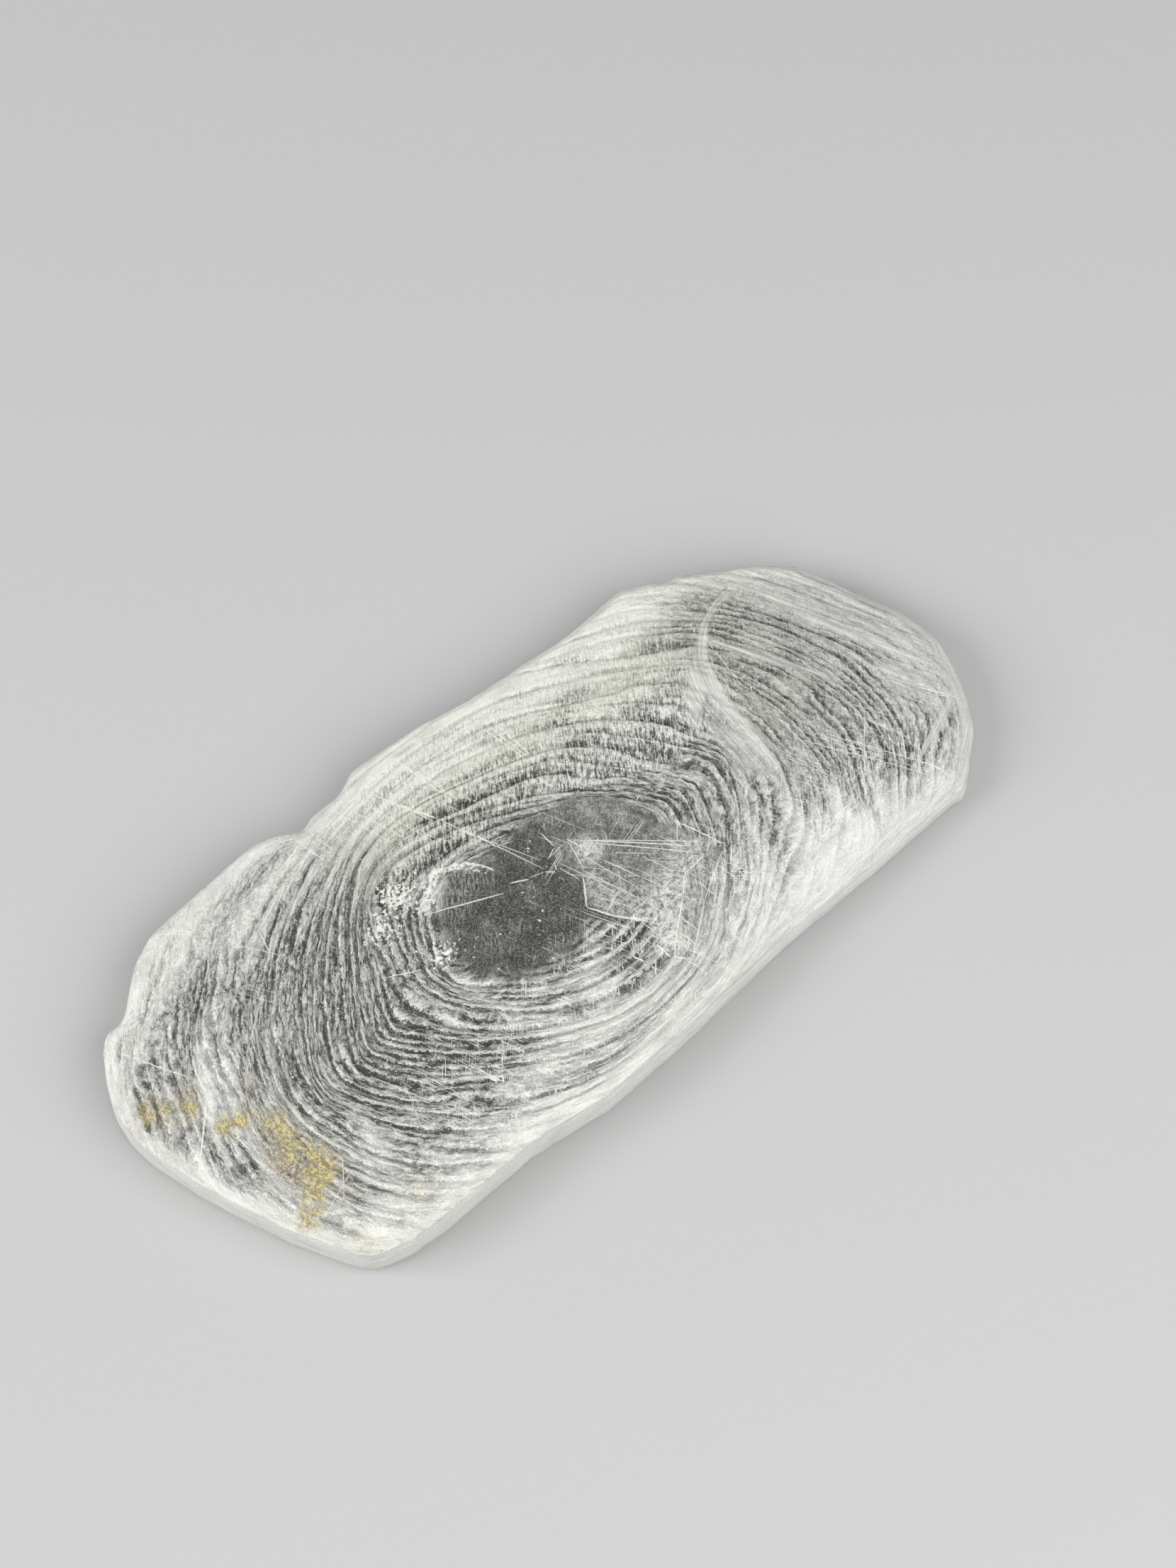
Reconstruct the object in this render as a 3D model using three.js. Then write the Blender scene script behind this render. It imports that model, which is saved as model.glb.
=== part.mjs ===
// A loose slab of clear selenite, a gypsum crystal split along its flat cleavage planes.
// The top steps down from a clear flat in the middle to the rim, in ledges that run round
// it like contour lines. The underside is one flat cleavage plane.
// Millimetres, +Z up. The origin is under the middle of the slab, on what it rests on.

import * as THREE from 'three';

// Heights
const WINDOW_HEIGHT = 9.4;
const OUTER_TREAD_HEIGHT = 6.5;

// Ledges
const LEDGES = 18;
const RISER_RUN = 0.16;
const RISER_SHARE_OF_TREAD = 0.4;
const LEDGE_WAVER = 0.055;

// Facets
const FACET_LENGTH = 2.8;
const CURVE_STEPS = 480;

// Rim and wall
const RIM_INSET = 0.15;
const BAND_RINGS = 2;
const BEVEL_TOP = 7;
const LONGEST_SLANT = 3;
const WALL_RINGS = [
  { share: 0.6, inset: 0 },
  { share: 0.2, inset: 0 },
  { share: 0.06, inset: 0.3 },
];
const SOLE_INSET = 0.9;

// The point inside the window from which all rays and contours are measured
const CENTRE = new THREE.Vector2(-3, -2);

// The widest line of the wall seen from above, counterclockwise from the right-hand tip
const OUTLINE = [
  [54.9, -4.4], [53.7, 0.5], [51.1, 5.9], [47.8, 12.8], [43.9, 15.9], [37.7, 19.6],
  [35.7, 20.9], [34.8, 20.5], [34.0, 21.4], [29.6, 23.4], [20.6, 22.6], [5.5, 23.6],
  [0.5, 24.4], [-9.2, 24.9], [-12.0, 23.4], [-16.4, 23.2], [-17.9, 22.3], [-19.5, 23.5],
  [-23.1, 24.7], [-34.7, 23.6], [-39.1, 23.0], [-42.9, 21.0], [-47.5, 16.6], [-49.6, 16.8],
  [-51.2, 15.4], [-53.1, 12.0], [-54.4, 9.0], [-54.7, 5.6], [-54.2, 2.2], [-51.9, -4.9],
  [-47.6, -14.7], [-44.8, -19.2], [-43.7, -21.3], [-42.0, -22.8], [-38.0, -23.8],
  [-33.9, -24.0], [-20.7, -23.4], [-10.5, -24.5], [1.7, -23.7], [17.0, -22.0],
  [31.7, -21.4], [43.5, -20.6], [45.1, -21.0], [47.6, -18.9], [48.2, -18.2], [51.3, -15.4],
  [53.0, -12.0], [54.3, -8.1],
];

// Contours that the ledges follow, from the edge of the window outwards
const CONTOURS = [
  [
    [14, -3], [11, 1], [4, 4.5], [-3, 5.5], [-9, 7.5], [-13, 6.5],
    [-15.5, 1], [-15, -4], [-11, -8], [-4, -10.5], [3, -12.5], [10, -10],
  ],
  [
    [20.5, -2.8], [16, 4], [8, 9], [-1, 11.3], [-12, 12.2], [-20, 9.5], [-24.6, 3],
    [-25.5, -3.5], [-20, -9.5], [-12, -13], [-2, -15], [8, -14.5], [16, -9.5],
  ],
  [
    [24.8, -3.5], [21, 5], [12, 11.5], [1, 14.6], [-10, 15.6], [-21, 12.5], [-28, 5],
    [-30.5, -3.5], [-26, -11], [-16, -15.8], [-3, -17.5], [9, -17], [19, -11.5],
  ],
  [
    [31, -4.5], [28.5, 6], [20, 13.2], [8, 17.3], [-6, 18.7], [-22, 16.8], [-32, 9.5],
    [-38.5, -4], [-34, -13], [-24, -18.2], [-8, -19.6], [8, -18.8], [22, -14.5],
  ],
  [
    [38.5, -5], [36.5, 4], [31, 11.5], [20, 17.3], [8, 19.4], [-8, 20.1], [-24, 19.8],
    [-35, 16.8], [-43, 8], [-45.5, -3], [-41, -14], [-34, -19.3], [-20, -21], [-4, -21.3],
    [10, -20.2], [22, -18.6], [32, -16], [36.5, -11],
  ],
  [
    [47.5, -5], [44.5, 4], [39.5, 12], [32, 18.2], [20, 20.6], [0, 21.8], [-15, 21],
    [-26, 22], [-38, 20.6], [-46, 14], [-50.5, 7], [-50, -1], [-45, -12], [-41.2, -18.8],
    [-34, -21.8], [-20, -22.1], [0, -22.3], [14, -21], [30, -19.4], [41, -17], [45.5, -11],
  ],
];

// Rim by direction from the centre: degrees, height of the rim, width of the worn bevel
const RIM = [
  [0, 5, 3.6],
  [20, 5.6, 2.6],
  [80, 5.7, 2],
  [140, 5.8, 1.8],
  [165, 6, 1.2],
  [210, 6.1, 1],
  [260, 6, 1.4],
  [302, 5.2, 2.6],
  [327, 4, 4.4],
  [339, 3, 5.4],
  [349, 3.6, 4.6],
];

// A value read round the circle from pairs of direction and value, in order of direction
function readRound(pairs, direction) {
  const turn = 2 * Math.PI;
  const angle = ((direction % turn) + turn) % turn;
  const after = pairs.findIndex(([start]) => start > angle);
  const next = after < 0 ? 0 : after;
  const previous = (next + pairs.length - 1) % pairs.length;
  const span = (pairs[next][0] - pairs[previous][0] + turn) % turn;
  const travelled = (angle - pairs[previous][0] + turn) % turn;
  return THREE.MathUtils.lerp(pairs[previous][1], pairs[next][1], travelled / span);
}

// Distance from the centre to a smooth contour, as pairs of direction and distance
function contourDistances(points) {
  const corners = points.map(([x, y]) => new THREE.Vector3(x - CENTRE.x, y - CENTRE.y, 0));
  const curve = new THREE.CatmullRomCurve3(corners, true, 'catmullrom');
  return curve.getPoints(CURVE_STEPS).slice(1)
    .map((point) => [directionOf(point), Math.hypot(point.x, point.y)])
    .sort((a, b) => a[0] - b[0]);
}

function directionOf(vector) {
  return (Math.atan2(vector.y, vector.x) + 2 * Math.PI) % (2 * Math.PI);
}

// The outline cut into facets of nearly one length, with every listed corner kept
function outlineFacets() {
  const corners = OUTLINE.map(([x, y]) => new THREE.Vector2(x, y));
  return corners.flatMap((corner, i) => {
    const next = corners[(i + 1) % corners.length];
    const cuts = Math.max(1, Math.round(corner.distanceTo(next) / FACET_LENGTH));
    return Array.from({ length: cuts }, (_, cut) => corner.clone().lerp(next, cut / cuts));
  });
}

const facetCorners = outlineFacets();
const contours = CONTOURS.map(contourDistances);
const rimHeights = RIM.map(([degrees, height]) => [THREE.MathUtils.degToRad(degrees), height]);
const bevelWidths = RIM.map(([degrees, , width]) => [THREE.MathUtils.degToRad(degrees), width]);

// A ray runs from the centre to each corner of the outline. Slant says how much longer
// a step along the ray is than the same step square to the wall.
const rays = facetCorners.map((corner, i) => {
  const reach = corner.clone().sub(CENTRE);
  const before = facetCorners[(i + facetCorners.length - 1) % facetCorners.length];
  const after = facetCorners[(i + 1) % facetCorners.length];
  const along = after.clone().sub(before).normalize();
  const squareness = Math.abs(along.cross(reach.clone().normalize()));
  return {
    direction: directionOf(reach),
    reach: reach.length(),
    unit: reach.clone().normalize(),
    slant: Math.min(1 / squareness, LONGEST_SLANT),
  };
});

function distanceToWall(point) {
  const nearest = new THREE.Vector3();
  const distances = facetCorners.map((corner, i) => {
    const next = facetCorners[(i + 1) % facetCorners.length];
    const facet = new THREE.Line3(
      new THREE.Vector3(corner.x, corner.y, 0),
      new THREE.Vector3(next.x, next.y, 0),
    );
    facet.closestPointToPoint(point, true, nearest);
    return nearest.distanceTo(point);
  });
  return Math.min(...distances);
}

// Contour level 0 is the edge of the window, and each listed contour adds one
function contourRadius(level, direction) {
  const inner = THREE.MathUtils.clamp(Math.floor(level), 0, contours.length - 2);
  const near = readRound(contours[inner], direction);
  const far = readRound(contours[inner + 1], direction);
  return THREE.MathUtils.lerp(near, far, level - inner);
}

function ledgeRadius(ledge, direction) {
  const level = ((contours.length - 1) * ledge) / (LEDGES - 1);
  const waver = Math.sin(5 * direction + 1.7 * ledge) + Math.sin(11 * direction - 2.3 * ledge);
  return contourRadius(level + LEDGE_WAVER * waver, direction);
}

function treadHeight(tread) {
  return THREE.MathUtils.lerp(WINDOW_HEIGHT, OUTER_TREAD_HEIGHT, tread / LEDGES);
}

// The worn bevel curves over from the rim and cuts the ledges that it reaches
function bevelHeight(point, direction) {
  const share = distanceToWall(point) / readRound(bevelWidths, direction);
  if (share >= 1) {
    return Infinity;
  }
  const rise = 1 - (1 - share) ** 2;
  return THREE.MathUtils.lerp(readRound(rimHeights, direction), BEVEL_TOP, rise);
}

function pointOnRay(ray, radius, height) {
  return new THREE.Vector3(
    CENTRE.x + ray.unit.x * radius,
    CENTRE.y + ray.unit.y * radius,
    height,
  );
}

function topPoint(ray, radius, height) {
  const flat = pointOnRay(ray, radius, 0);
  return pointOnRay(ray, radius, Math.min(height, bevelHeight(flat, ray.direction)));
}

// Each ledge is two rings: the edge of its tread and the foot of its riser
function ledgeRings(ledge) {
  const edge = rays.map((ray) => ledgeRadius(ledge, ray.direction));
  const foot = rays.map((ray, i) => {
    const nextEdge = ledge + 1 < LEDGES
      ? ledgeRadius(ledge + 1, ray.direction)
      : ray.reach - RIM_INSET * ray.slant;
    return edge[i] + Math.min(RISER_RUN, RISER_SHARE_OF_TREAD * (nextEdge - edge[i]));
  });
  return [
    rays.map((ray, i) => topPoint(ray, edge[i], treadHeight(ledge))),
    rays.map((ray, i) => topPoint(ray, foot[i], treadHeight(ledge + 1))),
  ];
}

// Rings between the last riser and the rim
function bandRing(step) {
  const [, lastFoot] = ledgeRings(LEDGES - 1);
  return rays.map((ray, i) => {
    const start = Math.hypot(lastFoot[i].x - CENTRE.x, lastFoot[i].y - CENTRE.y);
    const rim = ray.reach - RIM_INSET * ray.slant;
    const radius = THREE.MathUtils.lerp(start, rim, step / (BAND_RINGS + 1));
    return topPoint(ray, radius, OUTER_TREAD_HEIGHT);
  });
}

function wallRing(share, inset) {
  return rays.map((ray) => {
    const height = share * readRound(rimHeights, ray.direction);
    return pointOnRay(ray, ray.reach - inset * ray.slant, height);
  });
}

// One closed skin: a fan over the window, bands between the rings and a fan underneath
function slabGeometry() {
  const ledges = Array.from({ length: LEDGES }, (_, ledge) => ledgeRings(ledge)).flat();
  const band = Array.from({ length: BAND_RINGS }, (_, step) => bandRing(step + 1));
  const wall = WALL_RINGS.map(({ share, inset }) => wallRing(share, inset));
  const rings = [...ledges, ...band, wallRing(1, RIM_INSET), ...wall, wallRing(0, SOLE_INSET)];
  const corners = [
    new THREE.Vector3(CENTRE.x, CENTRE.y, WINDOW_HEIGHT),
    ...rings.flat(),
    new THREE.Vector3(CENTRE.x, CENTRE.y, 0),
  ];
  const count = rays.length;
  const lastRing = 1 + (rings.length - 1) * count;
  const faces = [];
  for (let i = 0; i < count; i += 1) {
    const next = (i + 1) % count;
    faces.push(0, 1 + i, 1 + next);
    faces.push(corners.length - 1, lastRing + next, lastRing + i);
    for (let ring = 1; ring < rings.length; ring += 1) {
      const inner = 1 + (ring - 1) * count;
      const outer = inner + count;
      faces.push(inner + i, outer + i, outer + next);
      faces.push(inner + i, outer + next, inner + next);
    }
  }
  const geometry = new THREE.BufferGeometry().setFromPoints(corners);
  geometry.setIndex(faces);
  geometry.computeVertexNormals();
  return geometry;
}

const frostedCrystal = new THREE.MeshStandardMaterial({
  color: 0xc4c6c0,
  roughness: 0.4,
  metalness: 0,
});

const slab = new THREE.Mesh(slabGeometry(), frostedCrystal);
slab.name = 'selenite_slab';

const selenite = new THREE.Group();
selenite.add(slab);

export default selenite;
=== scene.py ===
"""A loose slab of clear selenite with frosted ledges, lying on a plain pale floor.

Plan sizes are in millimetres in the slab's own frame and become metres in the mesh.
"""

import math

import bpy
import numpy as np
from mathutils import Matrix, Vector


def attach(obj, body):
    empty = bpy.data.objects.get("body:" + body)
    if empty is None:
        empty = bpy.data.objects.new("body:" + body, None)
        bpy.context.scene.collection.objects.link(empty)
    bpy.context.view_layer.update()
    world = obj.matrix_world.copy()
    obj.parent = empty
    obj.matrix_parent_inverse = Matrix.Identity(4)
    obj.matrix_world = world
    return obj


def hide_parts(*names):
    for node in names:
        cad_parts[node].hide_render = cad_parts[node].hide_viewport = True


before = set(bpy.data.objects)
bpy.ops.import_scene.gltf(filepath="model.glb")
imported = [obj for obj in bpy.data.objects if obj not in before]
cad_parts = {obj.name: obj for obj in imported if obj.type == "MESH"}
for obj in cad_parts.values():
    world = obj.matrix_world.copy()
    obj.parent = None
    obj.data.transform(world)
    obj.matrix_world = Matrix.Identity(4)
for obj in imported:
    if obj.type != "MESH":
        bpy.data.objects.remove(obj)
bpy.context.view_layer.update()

MM = 0.001
TURN = 2 * math.pi

# Camera, fitted to the photograph, with its distance and target in metres
CAMERA_LENS_MM = 85
CAMERA_SENSOR_MM = 36
CAMERA_ELEVATION = math.radians(67)
CAMERA_AZIMUTH = math.radians(-39)
CAMERA_DISTANCE = 0.430
CAMERA_TARGET = Vector((0.01267, 0.00828, 0.0))

# Lights by name: place, width and depth in metres, power in watts
LIGHTS = {
    "key": ((-0.62, 0.3, 0.5), (0.5, 0.5), 6.0),
    "fill": ((0.08, -0.35, 0.4), (0.6, 0.5), 3.0),
}
SKY_STRENGTH = 0.5

# Floor, a little below the slab so that their faces don't meet; its half width is in metres
FLOOR_HALF = 1.5
FLOOR_DROP_MM = 0.1
FLOOR_COLOR = (0.4, 0.4, 0.4, 1)
FLOOR_ROUGHNESS = 0.8

# Plan of the slab
CENTRE = np.array([-3.0, -2.0])
OUTLINE = [
    (54.9, -4.4), (53.7, 0.5), (51.1, 5.9), (47.8, 12.8), (43.9, 15.9), (37.7, 19.6),
    (35.7, 20.9), (34.8, 20.5), (34.0, 21.4), (29.6, 23.4), (20.6, 22.6), (5.5, 23.6),
    (0.5, 24.4), (-9.2, 24.9), (-12.0, 23.4), (-16.4, 23.2), (-17.9, 22.3), (-19.5, 23.5),
    (-23.1, 24.7), (-34.7, 23.6), (-39.1, 23.0), (-42.9, 21.0), (-47.5, 16.6), (-49.6, 16.8),
    (-51.2, 15.4), (-53.1, 12.0), (-54.4, 9.0), (-54.7, 5.6), (-54.2, 2.2), (-51.9, -4.9),
    (-47.6, -14.7), (-44.8, -19.2), (-43.7, -21.3), (-42.0, -22.8), (-38.0, -23.8),
    (-33.9, -24.0), (-20.7, -23.4), (-10.5, -24.5), (1.7, -23.7), (17.0, -22.0), (31.7, -21.4),
    (43.5, -20.6), (45.1, -21.0), (47.6, -18.9), (48.2, -18.2), (51.3, -15.4), (53.0, -12.0),
    (54.3, -8.1),
]

# Lines that the ledges follow, from the edge of the window outwards; the outer ones run off
# the slab. LEDGE_NUMBERS counts the ledges from the first line to each of them, and the centre
# lies at its own number inside the first.
LEDGE_LINES = [
    [
        (-16, -2), (-15, 1), (-11.5, 5.6), (-6, 6.8), (0, 5.6), (6, 3.8), (11, 0.8), (13.5, -3),
        (10.5, -9), (4, -12.4), (-3, -12.4), (-9.5, -9.8), (-14, -6.3),
    ],
    [
        (-20.5, -2), (-19.8, 2.6), (-18.9, 6.4), (-17, 9.9), (-13.9, 11.7), (-10.3, 12),
        (-6.4, 11.4), (-2.6, 10.1), (1, 8.7), (4, 7.4), (7, 5.9), (10, 4), (12.6, 1.8),
        (14.6, -0.8), (15.2, -2.8), (14, -8), (10.5, -12.8), (5, -16.2), (-3, -16.8),
        (-11.3, -13.3), (-17.5, -8),
    ],
    [
        (-26.5, -3.2), (-25.6, -1), (-23.4, 3.6), (-20.6, 8.4), (-16.5, 12.5), (-13, 14.2),
        (-9.5, 14.8), (-6.4, 14.6), (-2.6, 13.9), (1.6, 12.7), (4.7, 11.7), (7.8, 10.5),
        (10.4, 9), (12.8, 6.9), (15, 4.5), (17.3, 1.7), (19.2, -1), (19.8, -2.4), (19.4, -4.4),
        (17.6, -8.5), (13.5, -14), (7, -18.2), (-3, -19.3), (-11.6, -16.5), (-19.2, -11.7),
        (-24, -7.2), (-26.3, -4.6),
    ],
    [
        (-31.3, -3.6), (-30.6, -1.6), (-27.7, 3.3), (-24, 8.2), (-19.8, 12.4), (-15.6, 15.4),
        (-11, 17), (-6, 17.1), (-1, 16.4), (5, 15.2), (9, 13.9), (13, 11.8), (16.1, 9.6),
        (18.9, 7.2), (21.2, 4.8), (23, 2.2), (24.4, -0.6), (24.6, -2.6), (23.4, -6), (20, -10.6),
        (14.8, -15.3), (8, -20), (-3, -21.8), (-10.6, -21.2), (-18.7, -17.7), (-26.1, -12.5),
        (-29.6, -8.4), (-31.2, -5),
    ],
    [
        (-35.9, -3.6), (-35.4, -1.2), (-33.1, 3.5), (-29.3, 8.1), (-24.8, 12), (-19.8, 15.3),
        (-14, 18.4), (-7, 19.8), (1, 20.2), (8, 19.2), (15, 16.4), (20, 13.6), (25, 10.8),
        (28.2, 8.2), (30, 3.5), (31, -3), (30, -10), (26.6, -14.9), (20, -19.2), (10, -22.8),
        (-3, -24.6), (-17.3, -23.4), (-25.5, -19.5), (-31.4, -12.8), (-34.3, -8.4),
        (-35.7, -5.6),
    ],
    [
        (-40.2, -4), (-39.3, 1), (-37.2, 6.5), (-34, 10.4), (-30.8, 13.6), (-27.4, 16.6),
        (-23.6, 19), (-16, 22.2), (-5, 23.6), (8, 23.4), (15, 20.8), (20, 18.2), (25, 15.3),
        (30, 12), (33, 9), (35.8, 4.6), (38.3, -3), (38.2, -9.5), (35.5, -15.3), (31.7, -19.9),
        (22, -25), (0, -28.5), (-18, -27.5), (-30.7, -22.6), (-37, -16.5), (-39.6, -10),
    ],
    [
        (-49, -3), (-47.1, 3.7), (-45.2, 9.3), (-42, 13.5), (-38.8, 17), (-35.5, 20.4),
        (-29, 25), (-18, 28), (0, 29), (18, 25.5), (30, 21.5), (37.9, 14.6), (42.8, 7.1),
        (46, 0.5), (47.1, -7), (45.8, -13.3), (39.8, -19.3), (30, -26), (0, -34), (-30, -29),
        (-42.5, -22), (-47, -14.5), (-48.9, -9),
    ],
]
LEDGE_NUMBERS = (0, 5, 10, 15, 21, 28, 37)
CENTRE_NUMBER = -9

# Past the last line the ledges go on: so many times as far out, so many more of them
LAST_REACH = 1.35
LAST_LEDGES = 14

# Ledges closer together than this join in twos and fours: how many join, and how much of its
# clear gap such a ledge keeps
SINGLE_LEDGE_MM = 1.05
JOINED = ((1, 1), (2, 0.9), (4, 0.7))

# Rim by direction from the centre: degrees, height of the rim, width of the worn bevel
RIM = [
    (0, 5, 3.6), (20, 5.6, 2.6), (80, 5.7, 2), (140, 5.8, 1.8), (165, 6, 1.2), (210, 6.1, 1),
    (260, 6, 1.4), (302, 5.2, 2.6), (327, 4, 4.4), (339, 3, 5.4), (349, 3.6, 4.6),
]

# The rim: height at which its bevel meets the top, depth of its chips, height of its waves,
# its inset, and how far inside it the last ring of the top lies
BEVEL_TOP = 7.0
CHIP_DEPTH = 0.1
RIM_WAVES = 0.22
RIM_INSET = 0.15
RIM_LIP = 0.05

# The inset of the sole, and how many times as far as a square ray a slanting one may reach
SOLE_INSET = 0.9
LONGEST_SLANT = 3

# Wall from the rim down: share of the rim's height, inset from the widest line
WALL_RINGS = [
    (1, RIM_INSET), (0.85, 0.05), (0.7, 0), (0.55, 0), (0.4, 0.02), (0.25, 0.03),
    (0.12, 0.15), (0.04, 0.4), (0, SOLE_INSET),
]

# Depth of the thin layers that show in the wall
LAMINA_DEPTH = 0.1

# Heights of the top by share of the way from the centre to the wall, and on them the height
# of a ledge and of the small waves
WINDOW_HEIGHT = 9.2
HEIGHTS = ((0, 9.2), (0.25, 9.15), (0.5, 8.75), (0.65, 8.2), (0.8, 7.45), (0.92, 6.8), (1, 6.45))
RELIEF = 0.3
WAVINESS = 0.05

# How finely the mesh is cut, the innermost ring's share of the way to the wall, and how many
# rays to either side share one reach, so that the wall's notches don't run inwards as creases
RAYS = 560
RINGS = 156
INNERMOST = 0.03
EVEN_RAYS = 12

# Edges of the clear window and of the cracked plate on its right
WINDOW = [
    (-14, -2.5), (-13.6, 1.5), (-12, 4.6), (-9.5, 6.4), (-6.4, 5.6), (-2, 5.6), (1, 6.6),
    (5.5, 5.2), (9.5, 2.4), (12.5, -0.5), (13.3, -3), (11, -7.5), (7.5, -9.8), (3.5, -10.6),
    (0.5, -8.4), (-3, -8.8), (-7, -9.2), (-10.5, -8), (-13, -5.6),
]
PLATE = [
    (3, 6), (2.4, 1.5), (1, -0.5), (2.6, -3.2), (0.7, -6.2), (3, -9.5), (5, -12), (4.2, -14.6),
    (4.7, -16.6), (6.4, -18), (8.8, -16.1), (11.7, -13.7), (14.7, -11.7), (17, -10.4),
    (15.4, -6), (13, -2.5), (12, 1.5), (8, 5.5),
]

# White places on the plate: x, y, radius, strength
PLATE_HAZES = [
    (5.2, -1, 1.5, 0.9), (3, -4.5, 2, 0.35), (3.5, -8, 2.5, 0.45), (9, -10.3, 2.5, 0.62),
    (12, -5.5, 2.5, 0.2), (7, -5, 2.5, 0.15), (2.5, 1, 1.2, 0.3), (6, -12.5, 2.5, 0.6),
    (13, -9, 2.5, 0.55), (5.5, -15.5, 1.8, 0.7), (10.5, -13, 2, 0.2), (15.5, -8, 1.5, 0.3),
    (8.5, 3, 1.5, 0.25), (10.5, -0.5, 1.5, 0.2),
]

# Soft round places on the top: x, y, radius, strength. Hollows are clear and dark, hazes white
# (one of them a painted sheen), crusts carry crumbs, stains ochre grit and browns brown grit,
# and the cool spots are a painted bluish sheen and glints.
HOLLOWS = [
    (-28.5, -7, 3, 0.8), (-27, -10, 2.5, 0.6), (-22.5, -6, 2.6, 0.9), (-19, -11, 2.6, 0.9),
    (-15.5, -14, 2, 0.8), (19.5, 5.5, 2.4, 1.0), (21.5, 3, 1.6, 0.9), (12.7, 6.2, 1.4, 1),
    (14.6, 4, 1.3, 1.1), (-5, 12.2, 2, 0.7), (-1.5, 11.2, 1.6, 0.6), (3.5, 9.8, 1.6, 0.5),
    (-12.5, 9.5, 1.5, 0.7), (-8.5, 9.8, 1.8, 0.7), (-5, 8.6, 1.8, 0.6), (-3, 7.5, 1.5, 0.5),
    (-22, 7, 3, 0.6), (2, -13, 2.5, 0.8), (38.4, 3.2, 1.6, 0.9), (38.2, -3, 2.2, 0.9),
    (35.6, 10.6, 1.8, 0.9), (36.2, 3, 1.2, 0.6), (38, -8, 2, 0.5), (-8, -15.5, 2, 0.5),
    (-1, -16, 2, 0.5), (18.5, -7, 4, -0.4), (0.5, -10, 1.2, 0.8), (1.5, -13.3, 1.5, 0.8),
]
# The spot at (25, -18) is a painted sheen laid on as whiter frost; the others whiten or clear the
# frost itself.
HAZES_AND_SHEEN = [
    (25, -18, 7, 0.3), (5, -0.8, 1.4, 0.8), (-46, 7, 8, 0.2), (8, -18, 12, 0.1),
    (-17, -7, 5, 0.2), (-19, 6, 3, -0.08), (36, -4, 6, -0.05), (-26, 5, 7, -0.12),
    (-24, -9, 7, -0.1), (38, -12, 6, -0.2), (-6, -14, 6, 0.2), (18, 11, 6, 0.25),
    (-43, 15, 7, -0.3), (-24, 17, 8, -0.15), (35, 13, 4, -0.35), (33, 4, 3, -0.15),
    (-32, 0, 6, -0.05), (20, 0, 5, 0.12), (20, -5.5, 3, -0.12), (27, 9, 4, 0.2),
    (46, 4, 6, -0.1), (48, -6, 4, 0.3), (46.5, -11, 2.5, 0.15), (-10.5, 4.5, 2.6, 0.6),
    (-13, -0.5, 1.8, 0.4), (-6.5, 5, 2, 0.4), (5, 4.5, 3, 0.1), (10.5, 0, 2, 0.2),
    (-4, -3.5, 4, -0.1), (44, -16, 4, -0.25), (22, -9, 4, 0.1), (-41, -21.2, 1.6, 0.5),
    (-36, -20, 4, 0.1), (-12, -10, 3.5, 0.25), (-20, -5.5, 3, 0.2), (-4, -14, 3, 0.2),
    (-20, 14, 3.5, 0.12), (36, 18.5, 4.5, -0.2), (40, -16, 5, -0.12), (4, 6.5, 2.5, 0.15),
    (49.1, -11.4, 1.2, 0.6),
]
CRUSTS = [
    (-15, 8.5, 2.6, 1), (-19, 6, 2.2, 0.8), (-15.5, -0.5, 2, 0.9), (-13, 5, 1.1, 0.9),
    (-11.6, 6.8, 0.9, 1), (-10, 7.6, 0.8, 1), (-8.6, 7.4, 0.7, 1), (-7.3, 6.6, 0.7, 1),
    (-6.2, 5.5, 0.7, 0.9), (-5.4, 4.4, 0.6, 0.8),
]
STAINS = [
    (-51.8, 6.2, 1.3, 1), (-50.2, 5.2, 1, 0.8), (-47.6, 3.7, 1.3, 1), (-46, -0.8, 1.1, 1),
    (-44.1, -1.3, 1, 1), (-42.8, -2.9, 1, 0.9), (-41.5, -4, 1.3, 1), (-41.3, -6.8, 1.3, 0.8),
    (-40.2, -9.3, 1.2, 1), (-40.8, -11.4, 1.6, 1.1), (-42.4, -12.2, 1.3, 1),
    (-43.5, -13.6, 1.2, 0.9), (-45.3, -14.8, 1.2, 1), (-42.8, -7.8, 1.8, 0.5),
    (-42, -21, 1.6, 0.3), (-34, -20.2, 1.8, 0.2),
]
# Painted bluish sheen and glints on the lower right, laid into the frost as a cold tint
PAINTED_SHEEN_SPOTS = [(28, -15, 8, 0.35), (40, -19, 6, 0.25), (20, -17, 7, 0.2), (17, -6, 4, 0.6)]
BROWNS = [
    (-42.9, -7.8, 2.2, 1), (-39.3, -11.2, 1.2, 1), (-42.5, -5, 1.8, 0.7), (-41.2, 1.3, 1.3, 0.6),
    (-46.8, 5.6, 1, 0.7), (-43, -10, 1.6, 0.9), (-50.3, 2.8, 1.8, 0.45),
    (-40.5, -14.6, 1.8, 0.5), (23.3, 13.2, 1.3, 0.2), (25.6, 15.4, 1.2, 0.2),
]

# Frost thickens towards a side: how much, the axis, where it starts, where it is full
HAZE_SIDES = [
    (0.25, "y", 8, 14), (0.25, "y", 13, 18), (0.35, "y", -9, -19), (0.04, "x", 15, 30),
    (-0.08, "x", 36, 44), (0.12, "x", -36, -48),
]

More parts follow.
